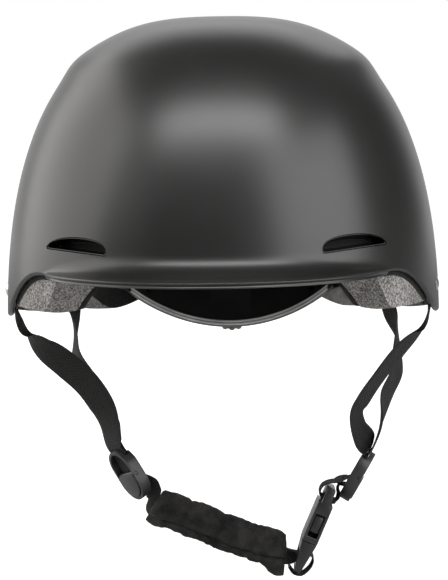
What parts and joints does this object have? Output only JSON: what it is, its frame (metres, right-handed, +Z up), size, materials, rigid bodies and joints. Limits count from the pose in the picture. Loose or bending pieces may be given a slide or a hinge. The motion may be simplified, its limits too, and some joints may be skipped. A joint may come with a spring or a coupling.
{
  "type": "bicycle helmet",
  "caption": "Hard-shell bicycle helmet with a moulded front brim, two slotted front vents, foam liner, dial fit cradle, riveted chin straps and a side-release buckle with a padded chin sleeve.",
  "frame": {"origin": "middle of the head opening at the level of the ear flaps", "axes": "+Z up to the crown, -Y to the brim at the front, +X to the side that is on the right in the picture"},
  "size_m": [0.2168, 0.2832, 0.2827],
  "materials": {
    "shell_black": "satin",
    "vent_black": "gloss",
    "liner_foam": "matte beaded foam",
    "pad_fabric": "matte",
    "webbing": "woven",
    "moulded_black": "satin",
    "moulded_grey": "satin",
    "rivet_steel": "brushed"
  },
  "bodies": {
    "helmet": {"outer_shell": "shell_black", "eps_liner": "liner_foam", "left_vent_insert": "vent_black", "right_vent_insert": "vent_black", "brow_pad": "pad_fabric", "crown_pad": "pad_fabric", "left_side_pad": "pad_fabric", "right_side_pad": "pad_fabric", "rear_pad": "pad_fabric", "strap_rivets": "rivet_steel", "rivet_washers": "rivet_steel", "left_front_strap": "webbing", "left_rear_strap": "webbing", "right_front_strap": "webbing", "right_rear_strap": "webbing", "left_divider_tray": "moulded_black", "right_divider_tray": "moulded_black", "buckle_strap": "webbing", "buckle_socket": "moulded_black", "chin_strap": "webbing", "chin_pad": "pad_fabric", "cradle_plate": "moulded_black", "hanger_plug": "moulded_grey", "belt_guides": "moulded_grey", "dial_cover": "moulded_black", "click_ring": "moulded_grey"},
    "dial": {"dial_pinion": "moulded_grey", "dial_knob": "moulded_black", "knob_screw": "rivet_steel", "click_spring": "rivet_steel"},
    "left_rack": {"left_belt": "moulded_black"},
    "right_rack": {"right_belt": "moulded_black"},
    "left_lever": {"left_divider_cam": "moulded_grey"},
    "right_lever": {"right_divider_cam": "moulded_grey"},
    "plug": {"buckle_plug": "moulded_black"},
    "front_catch": {"front_prong": "moulded_black"},
    "back_catch": {"back_prong": "moulded_black"}
  },
  "joints": [
    {"name": "dial_spin", "type": "hinge", "parent": "helmet", "child": "dial", "pos_m": [0, 0.10318, -0.00947], "axis": [0, 0.9272, -0.3746], "range_deg": [0, 171.8]},
    {"name": "left_belt_slide", "type": "hinge", "parent": "helmet", "child": "left_rack", "pos_m": [0, 0.029, 0.0205], "axis": [0, -0.3746, -0.9272], "range_deg": [0, 10.6]},
    {"name": "right_belt_slide", "type": "hinge", "parent": "helmet", "child": "right_rack", "pos_m": [0, 0.029, 0.0205], "axis": [0, 0.3746, 0.9272], "range_deg": [0, 10.4]},
    {"name": "left_lever_hinge", "type": "hinge", "parent": "helmet", "child": "left_lever", "pos_m": [-0.04986, -0.01137, -0.08453], "axis": [-0.4858, 0.8412, -0.2375], "range_deg": [0, 100]},
    {"name": "right_lever_hinge", "type": "hinge", "parent": "helmet", "child": "right_lever", "pos_m": [0.06768, -0.00553, -0.0875], "axis": [-0.1035, -0.9928, 0.0602], "range_deg": [0, 100]},
    {"name": "buckle_pull", "type": "slide", "parent": "helmet", "child": "plug", "axis": [-0.4002, -0.04, -0.9155], "range_m": [0, 0.018], "deforming": ["chin_strap", "chin_pad"]},
    {"name": "front_prong_hinge", "type": "hinge", "parent": "plug", "child": "front_catch", "pos_m": [0.04172, -0.01849, -0.11812], "axis": [-0.9163, 0, 0.4006], "range_deg": [0, 6], "stiffness_Nm_per_rad": 0.25},
    {"name": "back_prong_hinge", "type": "hinge", "parent": "plug", "child": "back_catch", "pos_m": [0.04148, -0.00351, -0.11868], "axis": [0.9163, 0, -0.4006], "range_deg": [0, 6], "stiffness_Nm_per_rad": 0.25}
  ],
  "couplings": [
    {"joint": "left_belt_slide", "follows": "dial_spin", "ratio": 0.054459},
    {"joint": "right_belt_slide", "follows": "dial_spin", "ratio": 0.053369}
  ]
}
